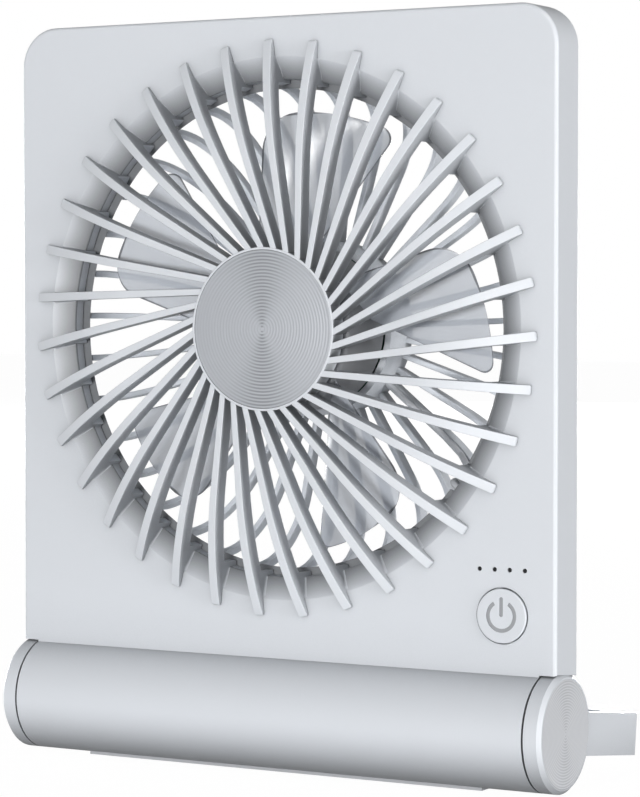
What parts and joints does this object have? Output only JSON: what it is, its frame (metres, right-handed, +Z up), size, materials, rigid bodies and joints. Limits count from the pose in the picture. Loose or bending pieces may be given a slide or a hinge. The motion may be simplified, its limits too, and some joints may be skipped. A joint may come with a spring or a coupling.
{
  "type": "usb desk fan",
  "caption": "Slim rechargeable desk fan: square panel with a swirled finned grille and spinning impeller, on a round battery tube with a folding U-shaped stand and a push button.",
  "frame": {"origin": "middle of the base pad's flat underside, on the table", "axes": "+Z up, +X along the tube to the right as seen from the front, -Y towards the user"},
  "size_m": [0.1498, 0.0567, 0.1823],
  "materials": {
    "case_plastic": "pale cool grey moulded plastic, satin",
    "turned_metal": "fine turned rings",
    "impeller_plastic": "translucent moulded plastic",
    "rubber": "matt",
    "steel": "zinc plated",
    "magnet": "sintered",
    "copper": "enamelled wire",
    "board": "lacquered board",
    "smoked": "smoked clear plastic",
    "lamp": "clear",
    "black_plastic": "moulded",
    "cell_wrap": "steel can in a plain wrap",
    "wire": "grey insulation",
    "nylon": "natural"
  },
  "bodies": {
    "fan_body": {"front_shell": "case_plastic", "bell_ring": "case_plastic", "hub_ring": "case_plastic", "front_fins": "case_plastic", "hub_cap": "turned_metal", "rear_cover": "case_plastic", "rear_ring": "case_plastic", "motor_cup": "case_plastic", "rear_ribs": "case_plastic", "motor_cap": "case_plastic", "tube_barrel": "case_plastic", "base_pad": "rubber", "left_end_plug": "black_plastic", "right_end_plug": "black_plastic", "hinge_pins": "steel", "friction_washers": "nylon", "motor_bearings": "steel", "stator_core": "steel", "stator_coils": "copper", "motor_board": "board", "tact_switch": "black_plastic", "control_board": "board", "board_screws": "steel", "status_leds": "lamp", "light_guide": "smoked", "battery_cell": "cell_wrap", "battery_contacts": "steel", "battery_cradles": "black_plastic", "usb_socket": "steel", "charge_board": "board", "battery_leads": "wire", "power_lead": "wire", "motor_lead": "wire", "case_screws": "steel", "grille_screws": "steel", "neck_screws": "steel"},
    "impeller_rotor": {"impeller": "impeller_plastic", "rotor_cup": "steel", "magnet_ring": "magnet", "motor_shaft": "steel", "shaft_clip": "steel"},
    "stand": {"stand_bracket": "case_plastic", "left_cap_disc": "turned_metal", "right_cap_disc": "turned_metal", "stand_feet": "rubber"},
    "power_button": {"power_button": "case_plastic"},
    "switch_plunger": {"switch_plunger": "black_plastic"}
  },
  "joints": [
    {"name": "impeller_spin", "type": "hinge", "parent": "fan_body", "child": "impeller_rotor", "pos_m": [0, 0, 0.10727], "axis": [0, 1, 0], "continuous": true},
    {"name": "stand_fold", "type": "hinge", "parent": "fan_body", "child": "stand", "pos_m": [0, 0, 0.0143], "axis": [1, 0, 0], "range_deg": [-82.5, 35]},
    {"name": "button_press", "type": "slide", "parent": "fan_body", "child": "power_button", "axis": [0, 1, 0], "range_m": [0, 0.0005], "stiffness_N_per_m": 1500, "springref_m": -0.0003},
    {"name": "plunger_press", "type": "slide", "parent": "fan_body", "child": "switch_plunger", "axis": [0, 1, 0], "range_m": [0, 0.0005]}
  ],
  "couplings": [
    {"joint": "plunger_press", "follows": "button_press", "ratio": 1}
  ]
}
